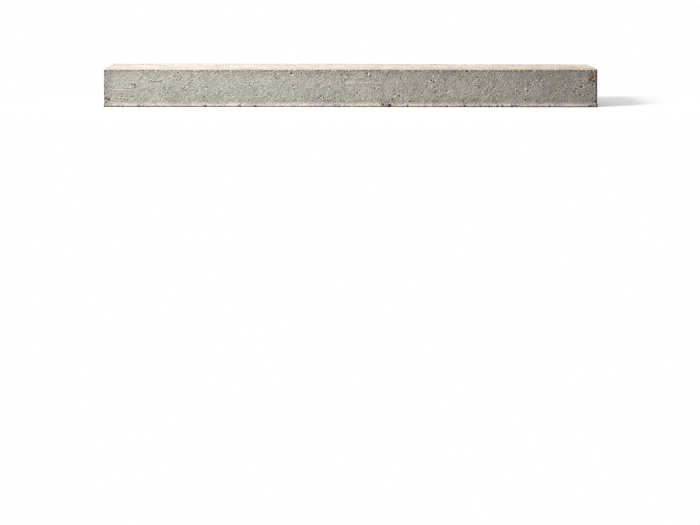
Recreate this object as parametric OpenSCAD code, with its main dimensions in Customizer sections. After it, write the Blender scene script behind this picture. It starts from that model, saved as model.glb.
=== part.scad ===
// Long-format facing brick: one solid, moulded block of fired clay.
// It lies on its struck bed, with a thin lip of clay round its foot.
// Origin: centre of the footprint, on the ground. X runs along the brick, Z is up.

/* [Body] */
// Length of the stretcher faces, without the lip
brick_length = 500; // [200:1:700]
// Width of the bed, without the lip
brick_width = 100; // [60:1:160]
// Height from bed to bed
brick_height = 38; // [25:0.5:80]

/* [Edges] */
// Radius of the four upright arrises
upright_radius = 1.6; // [1.5:0.1:4]
// Radius of the arris round the top bed
top_radius = 1; // [0.4:0.1:1.5]
// Radius of the rounded foot, where the lip turns under
foot_radius = 1.3; // [0.5:0.1:1.5]

/* [Struck lip] */
// How far the lip stands proud of the faces
lip_proud = 0.9; // [0.2:0.1:1.4]
// Height above the ground at which the face starts to flare into the lip
lip_height = 5; // [3:0.5:10]

/* [Hidden] */
clay = [0.66, 0.635, 0.595];
$fn = 64;

// Upright cut through one edge of the block: reach is the distance from the cut's
// left side to the face, and the lip stands lip_proud past it.
module edge_profile(reach) {
    foot = reach + lip_proud;
    intersection() {
        union() {
            polygon([
                [0, 0],
                [foot - foot_radius, 0],
                [foot, foot_radius],
                [reach, lip_height],
                [reach, brick_height - top_radius],
                [reach - top_radius, brick_height],
                [0, brick_height]
            ]);
            translate([foot - foot_radius, foot_radius]) circle(foot_radius);
            translate([reach - top_radius, brick_height - top_radius]) circle(top_radius);
        }
        square([foot, brick_height]);
    }
}

// Whole section between two opposite faces, as long as the run between their arrises.
module slab(face_to_face, run) {
    rotate([90, 0, 0])
        linear_extrude(run, center = true) {
            edge_profile(face_to_face / 2);
            mirror([1, 0]) edge_profile(face_to_face / 2);
        }
}

// Turned post that rounds one upright arris, with its share of lip and top edge.
module corner_post() {
    rotate_extrude() edge_profile(upright_radius);
}

module brick() {
    run_x = brick_length - 2 * upright_radius;
    run_y = brick_width - 2 * upright_radius;
    color(clay) {
        slab(brick_length, run_y);
        rotate([0, 0, 90]) slab(brick_width, run_x);
        for (side_x = [-1, 1], side_y = [-1, 1])
            translate([side_x * run_x / 2, side_y * run_y / 2, 0]) corner_post();
    }
}

brick();
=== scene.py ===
import math
import random

import bmesh
import bpy
import numpy as np
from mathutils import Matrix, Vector, noise


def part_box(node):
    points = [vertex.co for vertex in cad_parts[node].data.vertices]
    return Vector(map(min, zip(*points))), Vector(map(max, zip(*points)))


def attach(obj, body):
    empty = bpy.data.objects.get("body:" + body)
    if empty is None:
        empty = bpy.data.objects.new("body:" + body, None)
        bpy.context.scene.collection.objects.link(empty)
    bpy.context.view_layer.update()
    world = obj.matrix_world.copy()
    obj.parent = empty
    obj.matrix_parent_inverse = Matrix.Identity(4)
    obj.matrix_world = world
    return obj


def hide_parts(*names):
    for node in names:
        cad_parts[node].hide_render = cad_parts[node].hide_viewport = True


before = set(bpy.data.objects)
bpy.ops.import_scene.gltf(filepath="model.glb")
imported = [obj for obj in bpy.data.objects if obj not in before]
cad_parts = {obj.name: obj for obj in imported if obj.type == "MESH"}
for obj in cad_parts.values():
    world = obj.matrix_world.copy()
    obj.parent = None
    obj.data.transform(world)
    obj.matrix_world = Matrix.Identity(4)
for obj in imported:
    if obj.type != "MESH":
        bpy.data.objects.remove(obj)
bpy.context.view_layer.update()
low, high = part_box("brick")
mm = 0.001
print("frame loaded, the brick is", [round(side / mm, 1) for side in high - low], "mm")

# The block itself, all lengths in mm
block = {
    "lipProud": 0.9,         # how far the struck lip stands outside the walls
    "lipStart": 4.8,         # the walls start to flare into the lip here
    "lipFull": 1.5,          # and here it has its whole depth
    "lipWaves": (14, 0.22),  # its edge wavers: length and depth of the waves
    "lipSink": 0.12,         # and stands back a little
    "lipBand": (3.4, 0.45),  # how high its paler colour reaches, partly its own clay and partly painted light, and how much that wavers
    "creaseUp": 5.7,         # the crease above the lip
    "creaseDepth": 0.18,
    "footRadius": 0.7,
    "topRadius": 0.4,
    "uprightRadius": 1.6,
    "taper": 0.5,            # how far each end leans in at the top
    "cell": 3.57,            # mesh cells of the plain blank
    "wallCell": 0.9,         # what the four walls are refined to
    "bedCell": 1.8,
    "slack": 1.4,            # an edge may be this much longer than its cell
    "fineCell": 0.45,        # along the front arrises and at the marks of the front
    "grain": (2.6, 0.02),    # size and height of the finest relief in the mesh
    "knots": (7.0, 0.03),
    "droop": 1.0,            # the bed sinks this much at its back right corner
    "sway": (90.0, 0.16),    # the walls are not quite flat
    "struck": (5.0, 0.25),   # ridges that striking leaves on the lower bed
    "nibble": (1.2, 0.5),    # length and depth of the bites out of the arrises
    "chips": (4.0, 0.5),     # and of the longer chips out of the upright ones
    "arrisWear": (0.2, 1.6),     # wear round the bed: full within the first, none past the second
    "uprightWear": (0.6, 2.6),   # and at the upright arrises
    "rimShare": 0.3,         # the rim of a pit stands this share of its depth proud
    "fray": 6.0,             # the stains fray along clouds of this size
}

halfLength = high.x / mm - block["lipProud"]
halfWidth = high.y / mm - block["lipProud"]
height = high.z / mm
touch = 0.01                 # a point this near to a wall lies on it

# Pits of the front wall: along from the middle, above the ground, length, width, tilt, depth
frontPits = [
    (-248, 8.5, 2.0, 3.0, 0, 1.0), (-245, 8, 4.4, 1.6, 0, 0.9), (-249, 13, 2.0, 2.8, 0, 1.0),
    (-247, 5, 2.4, 1.6, 20, 0.9), (-232, 11, 3.0, 1.0, 0, 0.6), (-220.5, 11, 2.8, 1.6, 50, 0.7),
    (-218.5, 22, 2.2, 1.8, 60, 1.3), (-221, 23, 2.2, 1.6, 0, 0.9), (-212, 29, 6.0, 1.1, 50, 0.45),
    (-208.5, 28, 2.0, 1.0, 30, 0.4), (-193, 13, 2.2, 1.6, 0, 0.7),
    (-190.5, 11, 2.4, 1.4, -35, 0.55), (-184.5, 14.5, 2.6, 1.0, 0, 0.6),
    (-174.5, 34.5, 2.6, 1.5, 55, 0.9), (-171, 10, 1.8, 1.5, 0, 0.55),
    (-167.5, 21.5, 2.8, 2.0, 40, 0.25), (-160, 27, 2.0, 1.6, 0, 0.6),
    (-155.5, 15.5, 2.4, 1.2, 20, 0.9), (-152, 27, 2.4, 1.4, 60, 0.45),
    (-145, 20, 2.4, 1.2, 55, 0.5), (-136.5, 34, 2.2, 1.6, 30, 0.65),
    (-133, 18.5, 1.8, 1.4, 0, 0.5), (-122.5, 19.5, 2.4, 1.2, 65, 0.6),
    (-105.5, 24.5, 2.8, 1.6, -45, 0.6), (-101.5, 21.5, 3.0, 1.6, 10, 0.45),
    (-95, 12, 2.6, 2.2, 0, 0.4), (-93, 25, 2.2, 1.2, 45, 0.6), (-87, 16.5, 2.0, 1.4, 0, 0.55),
    (-75, 29.5, 2.2, 1.6, 0, 1.0), (-72.5, 29, 1.8, 1.4, 0, 0.6), (-60, 34, 3.4, 2.0, -35, 1.3),
    (-58, 21.5, 2.4, 1.8, 0, 0.7), (-57, 18, 2.2, 1.3, 0, 0.55), (-54, 21.5, 1.6, 1.2, 0, 0.8),
    (-49.5, 34, 2.4, 1.4, 45, 1.0), (-49, 10, 2.2, 1.6, 0, 0.6), (-30, 11, 2.4, 1.8, 0, 1.0),
    (-32, 9, 2.2, 1.6, 0, 0.9), (-27.5, 10, 2.4, 1.6, 40, 0.9), (-25, 7.5, 2.0, 1.2, -20, 0.5),
    (-21.5, 10.5, 1.8, 1.5, 0, 0.45), (-21, 20, 2.6, 1.5, 50, 0.65),
    (-9, 33, 2.6, 1.6, -25, 0.95), (7, 14.5, 1.6, 2.8, 0, 0.7), (9, 17, 2.8, 1.4, 0, 0.65),
    (17, 34, 2.2, 1.6, 0, 0.9), (21, 32, 2.4, 1.0, -20, 0.6), (25, 18.5, 1.8, 1.4, 0, 0.7),
    (34, 29, 1.6, 1.2, 45, 0.4), (42.5, 8, 2.8, 2.2, 0, 1.5), (45.5, 13, 4.2, 1.0, 15, 0.9),
    (49.5, 11, 2.4, 1.4, 0, 1.0), (50.5, 30, 2.2, 1.6, 0, 0.8), (58, 23.5, 1.8, 1.4, 40, 0.5),
    (60, 5.5, 2.0, 1.4, 0, 0.9), (65, 5.5, 2.6, 1.0, 0, 0.6), (72.5, 14, 2.8, 1.3, 20, 0.65),
    (78, 25, 2.1, 1.7, 0, 0.9), (82, 27, 2.4, 1.7, 0, 1.0), (81.5, 24, 1.8, 1.3, 0, 0.6),
    (84.5, 25.5, 2.6, 2.0, 0, 1.1), (89, 34, 2.4, 1.5, 0, 0.9), (97.5, 16.5, 4.4, 1.0, 0, 0.6),
    (97.5, 12, 1.2, 3.0, 0, 0.4), (117, 8.5, 1.8, 1.6, 0, 0.7), (118, 36.5, 3.8, 1.8, 0, 1.1),
    (128.5, 30, 1.4, 2.4, -20, 0.6), (130, 27, 1.7, 2.6, -25, 0.7),
    (145.5, 20.5, 2.5, 1.8, 0, 0.9), (149, 12, 2.8, 1.5, 20, 0.65), (150, 30, 2.0, 1.4, 0, 0.4),
    (166, 13, 2.4, 1.2, 50, 0.5), (177, 7.5, 1.5, 3.2, -10, 0.9),
    (179.5, 16.5, 2.8, 1.9, -15, 1.5), (182.5, 22.5, 2.2, 1.8, 20, 0.7),
    (183, 36.5, 4.5, 1.4, 0, 0.7), (192.5, 27.5, 2.8, 1.4, 0, 0.8), (209, 16, 1.6, 2.6, 0, 0.9),
    (226.5, 15.5, 3.6, 1.4, 30, 0.7), (228.5, 18.5, 3.0, 1.6, 30, 0.8),
    (233, 12.5, 3.0, 1.4, 0, 0.55), (234, 20.5, 3.8, 1.8, 15, 1.0), (241, 12.5, 4.6, 1.1, 0, 0.7),
    (243, 27.5, 4.0, 1.6, 0, 1.0), (245, 30, 1.4, 2.8, 0, 0.8), (247, 26.5, 2.4, 2.0, 0, 0.9),
    (245, 22, 1.7, 2.1, 0, 1.0), (248, 5.5, 1.8, 3.4, 0, 1.0), (40, 2, 3.6, 2.8, 0, 1.1),
    (33, 2.5, 2.0, 3.2, 0, 0.9),
]

# Grains of pale grit in the front wall: along, above the ground, width, height
frontGrit = [
    (-247, 6, 2.0, 0.75), (-243, 14, 2.0, 0.5), (-238, 3, 1.8, 0.4), (-234, 9, 2.4, 0.9),
    (-230, 9, 2.2, 0.75), (-223, 20, 2.0, 0.6), (-219, 21, 2.4, 1.0), (-208, 29, 2.4, 0.7),
    (-203, 6, 1.8, 0.4), (-190, 7, 1.8, 0.5), (-189, 25, 1.9, 0.5), (-184, 16, 1.8, 0.45),
    (-181, 31, 2.2, 0.5), (-155, 14, 1.8, 0.6), (-146, 18, 2.0, 0.5), (-136, 33, 2.3, 0.6),
    (-102, 20, 2.0, 0.4), (-95, 11, 1.6, 0.4), (-73, 33, 2.2, 0.5), (-63, 3, 1.6, 0.4),
    (-57, 20, 2.2, 0.6), (-28, 10, 2.2, 0.8), (-24, 8, 2.2, 0.7), (9, 14, 1.8, 0.3),
    (19, 33, 2.4, 0.7), (25, 21, 1.8, 0.5), (46, 11, 2.2, 0.7), (47, 13, 1.6, 0.4),
    (58, 6, 1.8, 0.4), (73, 12, 1.6, 0.3), (77, 26, 1.8, 0.4), (84, 31, 2.2, 0.6),
    (88, 34, 1.6, 0.4), (99, 15, 2.0, 0.5), (124, 25, 1.8, 0.4), (129, 28, 1.6, 0.4),
    (150, 12, 2.2, 0.6), (151, 31, 1.7, 0.4), (168, 18, 2.2, 0.6), (178, 13, 1.8, 0.5),
    (178, 18, 2.4, 0.85), (189, 27, 2.0, 0.6), (194, 27, 2.2, 0.8), (209, 15, 1.6, 0.4),
    (210, 31, 1.6, 0.45), (218, 22, 1.9, 0.5), (227, 18, 2.0, 0.5), (229, 13, 1.8, 0.65),
    (247, 24, 1.8, 0.6), (247, 21, 2.0, 0.7),
]

# Marks dragged along the front wall: from, to, above the ground, depth
frontDrags = [
    (-243, -219, 18.5, 0.15), (-240, -226, 15.5, 0.2), (-239, -228, 13.5, 0.3),
    (-239, -227, 11.0, 0.3), (-238, -228, 8.5, 0.3), (-203, -189, 25.5, 0.4),
    (-182, -173, 31.0, 0.4), (58, 64, 5.5, 0.3), (66, 72, 5.0, 0.2),
]

# Pale streaks that stand a little proud: from, to, above the ground, height
frontStreaks = [
    (-243, -219, 17.5, 0.15), (-6, 17, 29.5, 0.16), (-6, 34, 24.5, 0.16), (40, 49, 25.0, 0.1),
    (-239, -229, 14.5, 0.18), (-238, -229, 12.0, 0.18), (-237, -228, 10.0, 0.2),
    (-236, -228, 7.5, 0.2),
]

# Bites out of the front lip: along from the middle, width, depth
lipBites = [
    (-235, 2.0, 0.6), (-230, 1.5, 0.6), (-214, 2.4, 0.8), (-147, 3.0, 1.0), (-112, 2.4, 0.9),
    (-96, 2.4, 0.8), (-11, 1.4, 0.6), (40, 3.4, 1.0), (58, 1.8, 0.8), (98, 1.8, 0.7),
    (112, 1.6, 0.5), (116, 2.4, 0.8), (132, 1.5, 0.7), (141, 1.6, 0.8), (149, 1.6, 0.8),
    (154, 2.0, 0.9), (164, 2.4, 0.8), (168, 1.8, 0.5), (202, 1.8, 0.7), (243, 3.0, 0.8),
]

# Rusty stains of the front wall: along, above the ground, length, height, strength
frontStains = [
    (36, 3.5, 20, 7, 1.0), (40, 1.5, 3, 3, 1.0), (105, 3, 11, 3, 0.4), (244, 29, 11, 20, 0.9),
    (246, 20, 9, 38, 0.15), (131, 27, 9, 11, 0.3), (-22, 9, 12, 6, 0.35), (-10, 34, 22, 6, 0.25),
    (19, 34, 10, 6, 0.25), (187, 34, 20, 6, 0.12), (118, 36, 6, 4, 0.5), (-233, 12, 11, 8, 0.12),
    (-220, 22, 6, 4, 0.3), (-177, 3, 26, 6, 0.22), (-247, 7.5, 8, 5, 0.3), (236, 33, 10, 9, 0.22),
    (209.5, 36, 6, 6, 0.3),
]

# Stains of the top bed: along, across, length, width, strength
bedStains = [
    (216, 45, 44, 10, 0.45), (197, 47, 9, 4, 0.8), (232, 47, 12, 4, 0.7), (-72, 42, 10, 14, 0.35),
    (-140, 8, 8, 30, 0.3), (28, 10, 7, 40, 0.2), (80, -25, 30, 40, 0.2), (-105, -30, 24, 30, 0.15),
    (226, -30, 30, 36, 0.25),
]


def fieldOf(points, wavelength, seed, octaves=1, stretch=(1, 1, 1)):
    shift = Vector((31.7 * seed, -17.3 * seed, 7.9 * seed))
    scaled = points / (wavelength * np.array(stretch))
    return np.array([noise.fractal(Vector(p) + shift, 0.8, 2.0, octaves) for p in scaled])


def ramp(value, start, end):
    t = np.clip((value - start) / (end - start), 0, 1)
    return t * t * (3 - 2 * t)


def bell(value, middle, spread):
    return np.exp(-((value - middle) / spread) ** 2)


def scatterPits(seed, count, length, tall, deepest):
    draw = random.Random(seed)
    pits = []
    for _ in range(count):
        size = draw.uniform(1.8, 3.8)
        along = draw.uniform(3 - length / 2, length / 2 - 3)
        up = draw.uniform(3, tall - 3)
        slim = draw.uniform(0.45, 0.9)
        tilt = draw.uniform(-90, 90)
        pits.append((along, up, size, size * slim, tilt, deepest * draw.uniform(0.3, 1) ** 2))
    return pits


def scatterDrags(seed, count, length, tall, deepest=0.3):
    draw = random.Random(seed)
    drags = []
    for _ in range(count):
        start = draw.uniform(2 - length / 2, length / 2 - 12)
        end = min(start + draw.uniform(8, 34), length / 2 - 1)
        drags.append((start, end, draw.uniform(8, tall - 3), draw.uniform(0.3, 1) * deepest))
    return drags


def wallsOf(points):
    # each wall: which points lie on it, and their places along and up it as seen from outside
    x, y, z = points.T
    return {
        "front": (y < touch - halfWidth, x, z),
        "back": (y > halfWidth - touch, -x, z),
        "left": (x < touch - halfLength, -y, z),
        "right": (x > halfLength - touch, y, z),
        "top": (z > height - touch, x, y + halfWidth),
    }


# every wall's pits, dragged marks and streaks: the front ones as listed, the rest drawn from seeds
long, wide = 2 * halfLength, 2 * halfWidth
backStreaks = scatterDrags(18, 4, long, height, 0.12)
marks = {
    "front": (frontPits, frontDrags, frontStreaks),
    "back": (scatterPits(11, 62, long, height, 1.0), scatterDrags(12, 11, long, height), backStreaks),
    "left": (scatterPits(13, 15, wide, height, 0.9), scatterDrags(14, 3, wide, height), []),
    "right": (scatterPits(15, 15, wide, height, 0.9), scatterDrags(16, 3, wide, height), []),
    "top": (scatterPits(17, 40, long, wide, 0.5), [], []),
}


def sawnBlank():
    bm = bmesh.new()
    bmesh.ops.create_cube(bm, size=1)
    sides = Vector((2 * halfLength, 2 * halfWidth, height))
    for v in bm.verts:
        v.co = Vector(c * s for c, s in zip(v.co, sides)) + Vector((0, 0, height / 2))
    least = 0.5 * block["cell"]
    for axis in range(3):
        along = [e for e in bm.edges if abs((e.verts[0].co - e.verts[1].co)[axis]) > least]
        cuts = round(sides[axis] / block["cell"]) - 1
        bmesh.ops.subdivide_edges(bm, edges=along, cuts=cuts, use_grid_fill=True)
    return bm


def cellsWanted(at):
    x, y, z = at.T
    walls = wallsOf(at)
    onWall = walls["front"][0] | walls["back"][0] | walls["left"][0] | walls["right"][0]
    wanted = np.where(onWall, block["wallCell"], np.where(z > 1, block["bedCell"], block["cell"]))
    nearFront = y < 1.8 - halfWidth
    nearArris = (z > height - 1.8) | ((z < 1.0) & walls["front"][0])
    wanted[nearFront & nearArris] = block["fineCell"]
    spots = [(along, up, max(length, width)) for along, up, length, width, tilt, depth in frontPits]
    spots += [(along, up, width) for along, up, width, rise in frontGrit]
    spots += [(along, 1.8, width) for along, width, depth in lipBites]
    for along, up, size in spots:
        near = np.hypot(x - along, z - up) < 0.5 * size + 0.5
        wanted[walls["front"][0] & near] = block["fineCell"]
    for start, end, up, depth in frontDrags + frontStreaks:
        near = (x > start) & (x < end) & (abs(z - up) < 0.8)
        wanted[walls["front"][0] & near] = block["fineCell"]
    nearEdge = (halfWidth - abs(y) < 3) | (halfLength - abs(x) < 3)
    return np.where(nearEdge, np.minimum(wanted, block["bedCell"]), wanted)


def refine(bm):
    for _ in range(3):
        bm.faces.ensure_lookup_table()
        centres = np.array([f.calc_center_median()[:] for f in bm.faces])
        longest = np.array([max(e.calc_length() for e in f.edges) for f in bm.faces])
        coarse = np.nonzero(longest > block["slack"] * cellsWanted(centres))[0]
        edges = {e for i in coarse for e in bm.faces[i].edges}
        bmesh.ops.subdivide_edges(bm, edges=list(edges), cuts=1, use_grid_fill=True)
    bmesh.ops.triangulate(bm, faces=[f for f in bm.faces if len(f.verts) > 4])


def mouldShape(points):
    # rounds the upright arrises, then the top and the foot, and flares the walls into the lip
    r = block["uprightRadius"]
    core = np.array([halfLength - r, halfWidth - r])
    inner = np.clip(points[:, :2], -core, core)
    out = points[:, :2] - inner
    reach = abs(out).max(axis=1)
    spread = np.hypot(out[:, 0], out[:, 1])
    direction = out / np.maximum(spread, 1e-9)[:, None]
    z = points[:, 2].copy()
    for radius, sign, level in ((block["topRadius"], 1, height), (block["footRadius"], -1, 0)):
        across = radius - (r - reach)
        up = radius - sign * (level - z)
        corner = (across > 0) & (up > 0)
        shrink = np.where(corner, np.maximum(across, up) / np.maximum(np.hypot(across, up), 1e-9), 1)
        reach = np.where(corner, r - radius + across * shrink, reach)
        z = np.where(corner, level - sign * (radius - up * shrink), z)
    flare = ramp(-z, -block["lipStart"], -block["lipFull"])
    reach = reach + block["lipProud"] * flare * ramp(reach, 0, r)
    return np.column_stack([inner + direction * reach[:, None], z])


def pitRelief(along, up, pits):
    # a hollow for each pit, its core, which is painted dark as shade, and the rim that the clay
    # raised round it
    hollow = np.zeros(len(along))
    core = np.zeros(len(along))
    rim = np.zeros(len(along))
    for x, z, length, width, tilt, depth in pits:
        near = np.nonzero(np.hypot(along - x, up - z) < 1.5 * max(length, width))[0]
        c, s = math.cos(math.radians(tilt)), math.sin(math.radians(tilt))
        dx, dz = along[near] - x, up[near] - z
        gap = np.hypot((dx * c + dz * s) / (0.5 * length), (dz * c - dx * s) / (0.5 * width))
        # the rim is raised most on the lower right
        side = np.clip((dx - dz) / np.maximum(np.hypot(dx, dz), 1e-9), 0, 1)
        hollow[near] = np.maximum(hollow[near], depth * np.clip(1 - gap ** 2, 0, 1))
        core[near] = np.maximum(core[near], depth * (1 - ramp(gap, 0.65, 1.1)))
        rim[near] = np.maximum(rim[near], depth * bell(gap, 1.35, 0.35) * (0.2 + 0.8 * side))
    return hollow, core, rim


def lineRelief(along, up, lines):
    relief = np.zeros(len(along))
    for start, end, z, depth in lines:
        inside = ramp(along, start, start + 2) * (1 - ramp(along, end - 3, end))
        relief = np.maximum(relief, depth * inside * bell(up, z, 0.6))
    return relief


def gritRelief(along, up, grains):
    relief = np.zeros(len(along))
    for x, z, width, rise in grains:
        relief += rise * np.clip(1 - ((along - x) ** 2 + (up - z) ** 2) / (0.5 * width) ** 2, 0, 1)
    return relief


def stainsOf(along, up, fray, stains):
    stain = np.zeros(len(along))
    for x, z, length, tall, strength in stains:
        gap = np.hypot((along - x) / (0.5 * length), (up - z) / (0.5 * tall))
        stain = np.maximum(stain, strength * (1 - ramp(gap + 0.7 * fray, 0.3, 1.3)))
    return stain


def pointsOf(mesh, kind):
    flat = np.zeros(3 * len(mesh.vertices))
    mesh.vertices.foreach_get(kind, flat)
    return flat.reshape(-1, 3)


class Skin:
    # where the blank's points lie, and what moulding, wear and fire did to each
    def __init__(self, blank, shaped):
        self.shaped = shaped
        self.x, self.y, self.z = blank.T
        self.walls = wallsOf(blank)
        self.onFront, self.onTop = self.walls["front"][0], self.walls["top"][0]
        endGap, sideGap = halfLength - abs(self.x), halfWidth - abs(self.y)
        self.wallGap = np.minimum(endGap, sideGap)
        self.cornerGap = np.maximum(endGap, sideGap)
        self.topGap = height - self.z
        self.onWall = self.wallGap < touch
        self.rightEnd = self.onWall & (self.x > halfLength - 4) & (self.y < 4 - halfWidth)
        self.endWall = self.walls["right"][0] & (self.y < 0) & ~self.onFront
        self.across = 0.5 * (self.x / halfLength + 1)       # 0 at the left end, 1 at the right
        self.backward = 0.5 * (self.y / halfWidth + 1)      # 0 at the front, 1 at the back
        self.edge = self.onWall * ramp(self.topGap, -0.15, 0.4) * (1 - ramp(self.topGap, 1.1, 1.7))
        self.upright = (1 - ramp(self.cornerGap, *block["uprightWear"])) * self.onWall
        # 1 where an arris is nibbled, and 0 where a longer chip came off
        self.bitten = ramp(fieldOf(shaped, block["nibble"][0], 4), 0.06, 0.22)
        self.whole = ramp(fieldOf(shaped, block["chips"][0], 9, 2), -0.2, 0.15)
        self.waver = fieldOf(shaped, block["lipWaves"][0], 5, 2)
        self.bites = sum(depth * bell(self.x, at, 0.5 * width) for at, width, depth in lipBites)
        self.grit = self.onFront * gritRelief(self.x, self.z, frontGrit)
        self.hollow, self.core, self.rim, self.drag, self.streak = np.zeros((5, len(self.x)))
        for name, (pits, drags, streaks) in marks.items():
            inside, along, up = self.walls[name]
            for total, part in zip((self.hollow, self.core, self.rim), pitRelief(along, up, pits)):
                total += inside * part
            self.drag += inside * lineRelief(along, up, drags)
            self.streak += inside * lineRelief(along, up, streaks)

    def moulded(self):
        # the uneven walls, the struck bed, the lip and the crease above it
        relief = np.zeros(len(self.x))
        for seed, name in enumerate(("grain", "knots", "sway")):
            size, rise = block[name]
            relief += rise * fieldOf(self.shaped, size, seed, 2)
        size, rise = block["struck"]
        relief += np.where(self.z < touch, rise * fieldOf(self.shaped, size, 6, 2, (14, 1, 1)), 0)
        lipPart = np.clip(1 - self.z / block["lipStart"], 0, 1) * self.onWall
        relief += lipPart * (block["lipWaves"][1] * self.waver - block["lipSink"])
        return relief - self.onWall * block["creaseDepth"] * bell(self.z, block["creaseUp"], 0.8)

    def worn(self):
        # how deep the arrises are nibbled and chipped, and the lip bitten
        nearArris = np.where(self.onWall, self.topGap, self.wallGap)
        softened = (1 - ramp(nearArris, *block["arrisWear"])) * (self.onWall | self.onTop)
        nibbled = np.maximum(softened, 0.8 * self.upright) * block["nibble"][1] * self.bitten
        nibbled *= np.where(self.y > 0, 0.5, 1)
        chipped = self.upright * block["chips"][1] * (1 - self.whole) * np.where(self.x < 0, 1, 0.3)
        return nibbled + chipped + self.onFront * self.bites * (1 - ramp(self.z, 0.8, 3.2))

    def relief(self):
        marked = block["rimShare"] * self.rim - self.hollow - self.drag + self.streak + self.grit
        return self.moulded() - self.worn() + marked

    def scorchAndShadow(self):
        # scorch along the arris of the bed and down the upright ones, painted shadow along the foot,
        # and round the right end the fade of its painted black arris
        arris = 0.67 + 0.09 * self.across + 0.17 * bell(self.across, 0.5, 0.25)
        arris *= (1 - self.bitten) * self.edge
        arris += 0.3 * self.onWall * (1 - ramp(self.topGap, 1.2, 3.2))
        corner = self.onWall * (1 - self.bitten) * (1 - ramp(self.cornerGap, 1.2, 2.8))
        corner *= np.where(self.onFront, 1, 0.6) * (0.45 + 1.1 * self.whole)
        corner *= np.where(self.rightEnd, 0.25, np.where(self.x < 0, ramp(self.z, 0.5, 5), 1))
        # painted shadow: the foot is painted nearly black, as shade under the lip
        foot = 0.95 * self.onWall * (1 - ramp(self.z, 1.0, 1.45))
        # round the right end, the painted black shade of its arris fades into a brown band on the end
        # wall
        arrisShadeFade = 0.9 * self.endWall * (1 - ramp(self.y + halfWidth, 0, 10))
        arrisShadeFade *= 0.4 + 0.6 * self.whole
        return np.maximum.reduce([arris, corner, foot, arrisShadeFade])

    def paintedShadows(self):
        # painted shade: the pits' cores and the lip's notches painted dark, and the right end's
        # upright arris painted black, which fades round it
        # painted shade: the right end's upright arris painted black, as it is turned from the light
        arrisShadow = self.rightEnd * (1 - ramp(self.cornerGap, 1.0, 1.5)) * (1 - 0.25 * self.bitten)
        arrisShadow *= (0.8 + 0.2 * self.whole) * np.where(self.endWall, 0.5, 1)
        # painted shadow in the lip's notches
        notchShadow = self.onFront * np.minimum(1.2 * self.bites, 1) * (1 - ramp(self.z, 1.7, 2.9))
        return np.maximum.reduce([self.core / 0.7, arrisShadow, notchShadow])

    def paledAndHighlit(self):
        # painted highlights on the pits' rims, brightest on their lower right; pale grit and streaks;
        # fresh clay where the arrises are bitten and chipped; and a paler strip just in from the
        # right end's upright arris
        fresh = (0.35 + 0.35 * self.across) * self.bitten * self.edge
        fresh += 0.35 * (1 - self.whole) * self.upright * (1 - self.across)
        fresh += 0.3 * self.rightEnd * bell(self.cornerGap, 2.2, 0.6)
        return np.minimum(self.rim / 0.9, 0.6) + (self.grit + self.streak) / 0.45 + fresh

    def shaded(self):
        # a little darker towards the arrises and in the crease
        nearTop = 0.6 * (1 - ramp(self.topGap, 0, 13))
        nearEnds = (1.2 - 0.95 * self.across) * (1 - ramp(self.cornerGap, 0, 11))
        walls = self.onWall * (nearTop + nearEnds + 0.3 * bell(self.z, block["creaseUp"], 0.6))
        return walls + 0.05 * self.onTop * (1 - ramp(self.wallGap, 0, 3.5))

    def stained(self):
        fray = fieldOf(self.shaped, block["fray"], 8, 3)
        front = self.onFront * stainsOf(self.x, self.z, fray, frontStains)
        return front + self.onTop * stainsOf(self.x, self.y, fray, bedStains) + 2.4 * self.drag

    def lipPaleAndLit(self):
        # where the lip is paler, partly its own clay and partly painted light, fullest low down
        reach, wave = block["lipBand"]
        top = reach + wave * self.waver
        band = 1 - ramp(self.z, top - 0.7, top + 0.7)
        return self.onWall * band * (1 - 0.5 * ramp(self.z, 2, 3))

    def masks(self):
        return {
            "cream": np.where(self.onWall, self.bitten * self.edge, 1),
            # the lip's paler colour, partly painted light
            "lip": self.lipPaleAndLit(),
            # painted shade in the pits' cores, the lip's notches and along the right end's arris
            "hollow": self.paintedShadows(),
            # painted highlights on the pits' rims, with pale grit, streaks and fresh clay
            "grit": self.paledAndHighlit(),
            # scorch, with the painted shadow along the foot and round the right end
            "scorchAndShade": self.scorchAndShadow(),
            "shade": self.shaded(),
            "stain": self.stained(),
        }


def buildBrick():
    bm = sawnBlank()
    refine(bm)
    mesh = bpy.data.meshes.new("brick")
    bm.to_mesh(mesh)
    bm.free()
    blank = pointsOf(mesh, "co")
    shaped = mouldShape(blank)
    lean = np.clip(shaped[:, 0] / halfLength, -1, 1) * shaped[:, 2] / height
    shaped[:, 0] -= block["taper"] * lean
    mesh.vertices.foreach_set("co", shaped.ravel())
    mesh.update()
    normals = pointsOf(mesh, "normal")
    print("blank shaped:", len(mesh.vertices), "points")

    skin = Skin(blank, shaped)
    placed = shaped + normals * skin.relief()[:, None]
    placed[:, 2] -= block["droop"] * ramp(skin.across, 0.3, 1) * skin.backward * skin.z / height
    placed[:, 2] = np.clip(placed[:, 2], 0, height + 0.3)
    mesh.vertices.foreach_set("co", (placed * mm).ravel())
    mesh.update()
    mesh.shade_smooth()
    print("brick mesh:", sum(len(f.vertices) - 2 for f in mesh.polygons), "triangles")

    for name, values in skin.masks().items():
        layer = mesh.attributes.new(name, "FLOAT", "POINT")
        layer.data.foreach_set("value", np.clip(values, 0, 1).astype(np.float32))
    brick = bpy.data.objects.new("longBrick", mesh)
    bpy.context.scene.collection.objects.link(brick)
    return brick


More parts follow.
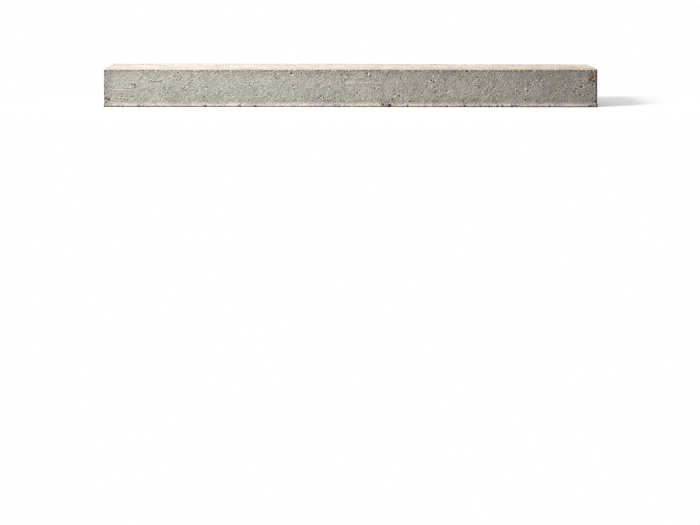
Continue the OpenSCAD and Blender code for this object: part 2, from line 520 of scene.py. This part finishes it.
# The fired clay: colours, then sizes and heights of its textures in mm
clay = {
    "leftClay": (0.402, 0.388, 0.345, 1),    # the colours drift from the left end to the right
    "rightClay": (0.402, 0.349, 0.306, 1),
    # the bed is paler than the walls: partly its own creamy clay and partly painted light from above,
    # more so at the right end, away from the key lamp
    "leftBed": (0.522, 0.482, 0.423, 1),
    "rightBed": (0.65, 0.562, 0.474, 1),
    "farBed": (1.02, 1.08, 1.18, 1),         # how much paler and greyer it is along the back
    "frontBed": (0.88, 0.86, 0.82, 1),       # and how much browner along the front
    # the lip is paler: partly its own clay and partly painted light on its upturned flare, more so at
    # the right end
    "leftLip": (0.5, 0.474, 0.405, 1),
    "rightLip": (0.72, 0.64, 0.54, 1),
    "blotch": (0.50, 0.42, 0.35, 1),
    # the scorch colour, also used for the painted shadow along the foot and round the right end
    "scorchAndShadow": (0.12, 0.078, 0.048, 1),
    "rust": (0.21, 0.145, 0.10, 1),
    # also the colour of the painted highlights on the pits' rims
    "grit": (0.74, 0.69, 0.61, 1),
    # the colour of the painted shade in the pits' cores, the lip's notches and the right end's arris
    "shadowDark": (0.04, 0.03, 0.025, 1),
    "grain": (1.1, 0.98),
    "sand": (1.15, 0.3),
    "sandTone": 0.47,        # how much the grains of sand differ in tone
    "specks": (3.0, 0.24),   # specks of grit and small holes
    "coarser": (0.93, 1.32),     # the grain is a little coarser at the right end than at the left
    "bedRelief": (0.4, 0.75),    # the top bed is smoother: share of the relief, left and right
    "bedSand": (0.6, 1.35),      # and of the sand's tone
    "patches": (8.0, 0.4, 1.55),     # quiet and rough patches: size, and the grain in each
    "coolTint": (0.98, 0.994, 1.0, 1),
    "warmTint": (1.0, 0.98, 0.955, 1),
    "dry": (0.82, 0.97),     # roughness of the surface
    "sheen": 0.3,
    "driftCloud": 40,        # sizes of the clouds: in how the colours drift,
    "toneCloud": 20,         # in how light the clay is,
    "tintCloud": 18,         # in its tint,
    "blotchCloud": 16,       # in the blotches of the bed,
    "dryCloud": 3,           # in the roughness,
    "rustCloud": 2.5,        # in the rust
    "scorchCloud": 1.8,      # and in the fire marks and the painted shade
}


def addNode(tree, kind, settings=None, inputs=None):
    node = tree.nodes.new(kind)
    for name, value in (settings or {}).items():
        setattr(node, name, value)
    for name, value in (inputs or {}).items():
        if isinstance(value, bpy.types.NodeSocket):
            tree.links.new(value, node.inputs[name])
        else:
            node.inputs[name].default_value = value
    return node


class Surface:
    # a material's node tree, with short words for the nodes used most
    def __init__(self, name):
        self.material = bpy.data.materials.new(name)
        self.material.use_nodes = True
        self.tree = self.material.node_tree
        self.tree.nodes.clear()
        self.place = self.add("ShaderNodeTexCoord").outputs["Object"]

    def add(self, kind, settings=None, inputs=None):
        return addNode(self.tree, kind, settings, inputs)

    def cloud(self, size, detail=2.0):
        inputs = {"Vector": self.place, "Scale": 1 / (size * mm), "Detail": detail}
        return self.add("ShaderNodeTexNoise", None, inputs).outputs["Fac"]

    def maths(self, kind, a, b, clamp=False):
        settings = {"operation": kind, "use_clamp": clamp}
        return self.add("ShaderNodeMath", settings, {0: a, 1: b}).outputs[0]

    def spread(self, value, fromLow, fromHigh, toLow=0.0, toHigh=1.0):
        inputs = {0: value, 1: fromLow, 2: fromHigh, 3: toLow, 4: toHigh}
        return self.add("ShaderNodeMapRange", None, inputs).outputs[0]

    def blend(self, fac, a, b, kind="MIX"):
        settings = {"data_type": "RGBA", "blend_type": kind}
        return self.add("ShaderNodeMix", settings, {0: fac, 6: a, 7: b}).outputs[2]

    def mask(self, name):
        return self.add("ShaderNodeAttribute", {"attribute_name": name}).outputs["Fac"]

    def cells(self, size):
        inputs = {"Vector": self.place, "Scale": 1 / (size * mm)}
        node = self.add("ShaderNodeTexVoronoi", None, inputs)
        draw = self.add("ShaderNodeSeparateColor", None, {0: node.outputs["Color"]})
        return node.outputs["Distance"], draw.outputs[0], draw.outputs[1]


def bareClay(s, at, along):
    # grey clay that turns browner to the right, and the bed and lip, paler partly by their own clay
    # and partly by painted light from above
    wander = s.spread(s.cloud(clay["driftCloud"]), 0.3, 0.7, -0.15, 0.15)
    drift = s.maths("ADD", s.maths("POWER", along, 1.6), wander, True)
    wall = s.blend(drift, clay["leftClay"], clay["rightClay"])
    bed = s.blend(drift, clay["leftBed"], clay["rightBed"])
    bed = s.blend(s.spread(at["Y"], 0.005, 0.045), bed, clay["farBed"], "MULTIPLY")
    bed = s.blend(s.spread(at["Y"], -0.005, -0.03), bed, clay["frontBed"], "MULTIPLY")
    bed = s.blend(s.spread(s.cloud(clay["blotchCloud"], 3), 0.52, 0.75), bed, clay["blotch"])
    colour = s.blend(s.mask("cream"), wall, bed)
    return s.blend(s.mask("lip"), colour, s.blend(along, clay["leftLip"], clay["rightLip"]))


def marked(s, colour, grit):
    # pale grit with painted highlights, scorched arrises with painted shadow at the foot, rusty
    # stains, and painted shade in the hollows, over the clay
    # the grit mask also carries painted highlights on the pits' rims
    pale = s.maths("MAXIMUM", s.mask("grit"), s.maths("MULTIPLY", grit, 0.5))
    colour = s.blend(pale, colour, clay["grit"])
    patchy = s.spread(s.cloud(clay["scorchCloud"]), 0.4, 0.6, 0.5, 1)
    # the scorch mask also carries the painted shadow along the foot and round the right end
    colour = s.blend(s.maths("MULTIPLY", s.mask("scorchAndShade"), patchy), colour, clay["scorchAndShadow"])
    faded = s.spread(s.cloud(clay["rustCloud"]), 0.3, 0.55, 0.2, 0.9)
    colour = s.blend(s.maths("MULTIPLY", s.mask("stain"), faded), colour, clay["rust"])
    # painted shade: the hollow mask darkens the pits' cores, the lip's notches and the right end's
    # arris
    return s.blend(s.spread(s.mask("hollow"), 0, 1, 0, 0.9), colour, clay["shadowDark"])


def firedClay():
    s = Surface("firedClay")
    at = s.add("ShaderNodeSeparateXYZ", None, {0: s.place}).outputs
    along = s.spread(at["X"], -0.25, 0.25)
    colour = bareClay(s, at, along)

    # sand and specks, in quiet and rough patches
    sandGap, sandDraw, _ = s.cells(clay["sand"][0])
    speckGap, speckDraw, speckSize = s.cells(clay["specks"][0])
    speckEdge = s.maths("SUBTRACT", speckGap, s.spread(speckSize, 0, 1, 0, 0.1))
    speck = s.spread(speckEdge, 0.08, 0.2, 1, 0)
    patch = s.cloud(clay["patches"][0])
    roughness = s.spread(patch, 0.3, 0.7, *clay["patches"][1:])
    bedRelief = s.spread(s.mask("cream"), 0, 1, 1, s.spread(along, 0, 1, *clay["bedRelief"]))
    bedSand = s.spread(s.mask("cream"), 0, 1, 1, s.spread(along, 0, 1, *clay["bedSand"]))
    pitted = s.spread(patch, 0.4, 0.7, 0, 0.5)
    holes = s.maths("MULTIPLY", speck, s.maths("LESS_THAN", speckDraw, pitted))
    grit = s.maths("MULTIPLY", speck, s.maths("GREATER_THAN", speckDraw, 0.75))

    half = clay["sandTone"] / 2
    value = s.maths("MULTIPLY", s.spread(sandDraw, 0, 1, -half, half), roughness)
    value = s.maths("ADD", s.maths("MULTIPLY", value, bedSand), 1)
    # darker towards the right end, the painted shade of the shade mask, and painted shade in the
    # small holes
    tones = (
        s.spread(s.cloud(clay["toneCloud"]), 0.3, 0.7, 0.9, 1.1),
        s.spread(along, 0, 1, 1.0, 0.885),
        s.spread(s.mask("shade"), 0, 1, 1.02, 0.74),
        s.spread(holes, 0, 1, 1, 0.6),
    )
    for tone in tones:
        value = s.maths("MULTIPLY", value, tone)
    grey = s.add("ShaderNodeCombineColor", None, {0: value, 1: value, 2: value}).outputs[0]
    colour = s.blend(1.0, colour, grey, "MULTIPLY")
    warm = s.spread(s.cloud(clay["tintCloud"]), 0.3, 0.7)
    tint = s.blend(warm, clay["coolTint"], clay["warmTint"])
    colour = marked(s, s.blend(1.0, colour, tint, "MULTIPLY"), grit)

    coarse = s.maths("MULTIPLY", s.cloud(clay["grain"][0], 1), clay["grain"][1])
    coarse = s.maths("MULTIPLY", coarse, s.spread(along, 0, 1, *clay["coarser"]))
    fine = s.maths("MULTIPLY", sandGap, -clay["sand"][1])
    rise = s.maths("MULTIPLY", s.maths("SUBTRACT", grit, holes), clay["specks"][1])
    relief = s.maths("ADD", s.maths("ADD", coarse, fine), rise)
    relief = s.maths("MULTIPLY", s.maths("MULTIPLY", relief, roughness), bedRelief)
    bump = s.add("ShaderNodeBump", None, {"Strength": 1.0, "Distance": mm, "Height": relief})
    shader = s.add("ShaderNodeBsdfPrincipled", None, {
        "Base Color": colour,
        "Roughness": s.spread(s.cloud(clay["dryCloud"]), 0.3, 0.7, *clay["dry"]),
        "Normal": bump.outputs[0],
        "Specular IOR Level": clay["sheen"],
    })
    s.add("ShaderNodeOutputMaterial", None, {"Surface": shader.outputs[0]})
    return s.material


brick = buildBrick()
brick.data.materials.append(firedClay())
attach(brick, "root")
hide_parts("brick")
print("brick built and fired")

# Floor and light; places in metres, powers in watts
studio = {
    "keyAt": (-0.43, -0.38, 0.42),
    "keyAim": (0.6, -0.36, 0.42),
    "keySize": 0.35,
    "keyPower": 11.5,
    "skyGrey": 0.35,         # even light from all round
    "glowFrom": (0.25, 0.68, 0.69),    # and a broad soft glow above and behind
    "glow": 1.2,
    "floorBounce": 0.2,      # how much light the floor throws back on the brick
    "floorTone": 0.9,        # how light it is to the eye
    "paperReach": (0.31, 0.41),    # its own shading fades to plain white between these
    "paperStretch": (1, 1.6, 1),
    "floorSide": 6.0,
}


def lamp(name, at, aim, size, power):
    data = bpy.data.lights.new(name, "AREA")
    data.size = size
    data.energy = power
    source = bpy.data.objects.new(name, data)
    source.location = at
    source.visible_camera = False
    source.rotation_euler = (Vector(aim) - Vector(at)).to_track_quat("-Z", "Y").to_euler()
    bpy.context.scene.collection.objects.link(source)


def seenWhite(tree):
    # 1 where the eye, a reflection or a clear thing looks at the background
    path = addNode(tree, "ShaderNodeLightPath").outputs
    seen = path["Is Camera Ray"]
    for kind in ("Is Glossy Ray", "Is Transmission Ray"):
        larger = addNode(tree, "ShaderNodeMath", {"operation": "MAXIMUM"}, {0: seen, 1: path[kind]})
        seen = larger.outputs[0]
    return seen


def layFloor():
    mesh = bpy.data.meshes.new("floor")
    side = studio["floorSide"]
    corners = [(-side, -side, 0), (side, -side, 0), (side, side, 0), (-side, side, 0)]
    mesh.from_pydata(corners, [], [(0, 1, 2, 3)])
    floor = bpy.data.objects.new("floor", mesh)
    bpy.context.scene.collection.objects.link(floor)
    s = Surface("whiteFloor")
    stretch = {0: s.place, 1: studio["paperStretch"]}
    place = s.add("ShaderNodeVectorMath", {"operation": "MULTIPLY"}, stretch).outputs["Vector"]
    away = s.add("ShaderNodeVectorMath", {"operation": "LENGTH"}, {0: place}).outputs["Value"]
    fade = s.spread(away, *studio["paperReach"])
    white = s.add("ShaderNodeEmission", None, {"Strength": 1.0}).outputs[0]
    tone, bounce = studio["floorTone"], studio["floorBounce"]
    paper = s.add("ShaderNodeBsdfDiffuse", None, {"Color": (tone, tone, tone, 1)}).outputs[0]
    dim = s.add("ShaderNodeBsdfDiffuse", None, {"Color": (bounce, bounce, bounce, 1)}).outputs[0]
    shown = s.add("ShaderNodeMixShader", None, {0: fade, 1: paper, 2: white}).outputs[0]
    both = s.add("ShaderNodeMixShader", None, {0: seenWhite(s.tree), 1: dim, 2: shown}).outputs[0]
    s.add("ShaderNodeOutputMaterial", None, {"Surface": both})
    mesh.materials.append(s.material)


def hangWorld():
    world = bpy.data.worlds.new("studio")
    bpy.context.scene.world = world
    world.use_nodes = True
    tree = world.node_tree
    tree.nodes.clear()
    look = addNode(tree, "ShaderNodeTexCoord").outputs["Generated"]
    dot = {0: look, 1: studio["glowFrom"]}
    toward = addNode(tree, "ShaderNodeVectorMath", {"operation": "DOT_PRODUCT"}, dot)
    ahead = {0: toward.outputs["Value"], 1: 0.0}
    facing = addNode(tree, "ShaderNodeMath", {"operation": "MAXIMUM"}, ahead).outputs[0]
    squared = {0: facing, 1: facing}
    soft = addNode(tree, "ShaderNodeMath", {"operation": "MULTIPLY"}, squared).outputs[0]
    sky = {0: soft, 1: studio["glow"], 2: studio["skyGrey"]}
    level = addNode(tree, "ShaderNodeMath", {"operation": "MULTIPLY_ADD"}, sky).outputs[0]
    white = (1, 1, 1, 1)
    light = addNode(tree, "ShaderNodeBackground", None, {"Color": white, "Strength": level})
    paper = addNode(tree, "ShaderNodeBackground", None, {"Color": white, "Strength": 1.0})
    choice = {0: seenWhite(tree), 1: light.outputs[0], 2: paper.outputs[0]}
    both = addNode(tree, "ShaderNodeMixShader", None, choice).outputs[0]
    addNode(tree, "ShaderNodeOutputWorld", None, {"Surface": both})


camera = {
    "at": (-0.0006, -2.08, 0.17),
    "tiltDown": 9.216,
    "lens": 103.1,
    "sensor": 36,
}


def setCamera():
    data = bpy.data.cameras.new("camera")
    data.lens = camera["lens"]
    data.sensor_width = camera["sensor"]
    eye = bpy.data.objects.new("camera", data)
    eye.location = camera["at"]
    eye.rotation_euler = (math.radians(90 - camera["tiltDown"]), 0, 0)
    bpy.context.scene.collection.objects.link(eye)
    bpy.context.scene.camera = eye


lamp("keyLamp", studio["keyAt"], studio["keyAim"], studio["keySize"], studio["keyPower"])
layFloor()
hangWorld()
setCamera()
bpy.context.scene.view_settings.view_transform = "Standard"
print("floor, lamps and camera set")
